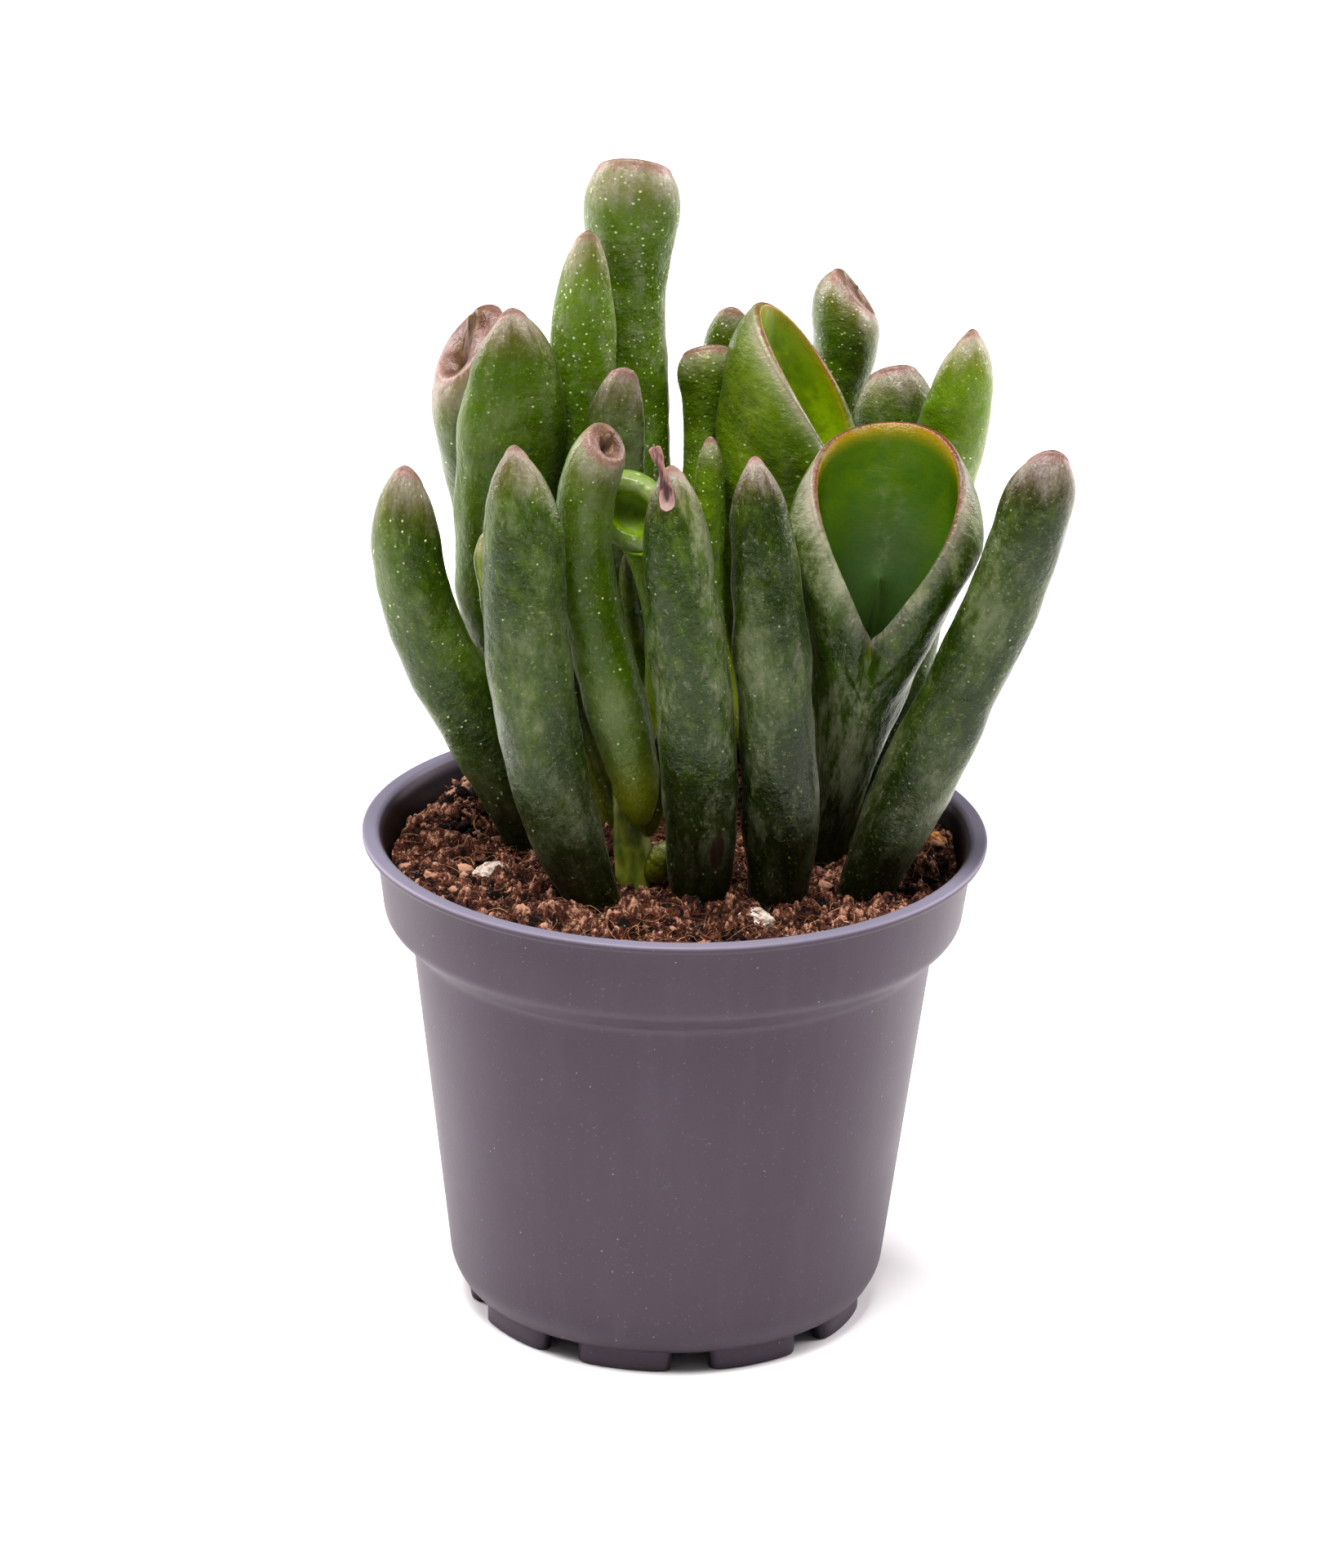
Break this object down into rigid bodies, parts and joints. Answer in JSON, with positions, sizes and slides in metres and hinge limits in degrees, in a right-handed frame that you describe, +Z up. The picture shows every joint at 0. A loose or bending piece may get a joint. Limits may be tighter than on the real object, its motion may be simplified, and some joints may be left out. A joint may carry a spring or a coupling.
{
  "type": "potted coral jade",
  "caption": "Coral jade succulent with finger-like hollow-tipped green leaves, pink at the tips, in a small mauve-grey nursery pot of peat.",
  "frame": {"origin": "centre of the whole part in plan, at the underside of the pot's feet", "axes": "+Z up along the pot's axis, +X to the viewer's right and -Y towards the viewer in the picture"},
  "size_m": [0.0664, 0.06, 0.1107],
  "materials": {
    "pot_plastic": "satin, fine dust specks",
    "peat": "matt, crumbly, with light fibres",
    "stem_flesh": "satin",
    "leaf_green": "waxy satin, greyish bloom",
    "leaf_dark_green": "waxy, a little glossier",
    "leaf_bright_green": "waxy satin",
    "perlite": "matt, porous",
    "bark": "matt"
  },
  "bodies": {
    "root": {"pot": "pot_plastic", "stem_front": "stem_flesh", "stem_left": "stem_flesh", "stem_right": "stem_flesh", "leaf_outer_left": "leaf_green", "leaf_left_back_spoon": "leaf_green", "leaf_left_broad": "leaf_dark_green", "leaf_front_left": "leaf_green", "leaf_left_young": "leaf_bright_green", "leaf_tall_spotted": "leaf_green", "leaf_tallest": "leaf_green", "leaf_middle_tip": "leaf_green", "leaf_front_neck": "leaf_dark_green", "leaf_little_cup": "leaf_bright_green", "leaf_front_middle": "leaf_green", "leaf_front_right": "leaf_green", "leaf_big_trumpet": "leaf_green", "leaf_folded_spoon": "leaf_bright_green", "leaf_right_back_club": "leaf_green", "leaf_right_back_round": "leaf_green", "leaf_right_back_point": "leaf_bright_green", "leaf_outer_right": "leaf_dark_green", "leaf_back_spotted": "leaf_green", "leaf_club_spotted": "leaf_green", "leaf_middle_short": "leaf_green", "leaf_left_inner_small": "leaf_green", "leaf_bright_strip": "leaf_bright_green", "leaf_small_dark": "leaf_dark_green", "leaf_front_bud": "leaf_dark_green", "leaf_back_left": "leaf_green", "leaf_back_middle": "leaf_green", "leaf_back_inner": "leaf_green", "leaf_back_right": "leaf_green", "leaf_far_right": "leaf_green", "leaf_far_left": "leaf_green", "leaf_back_low": "leaf_green", "perlite_left": "perlite", "perlite_front": "perlite", "perlite_right": "perlite", "bark_right": "bark", "perlite_back": "perlite", "peat": "peat"}
  },
  "joints": []
}
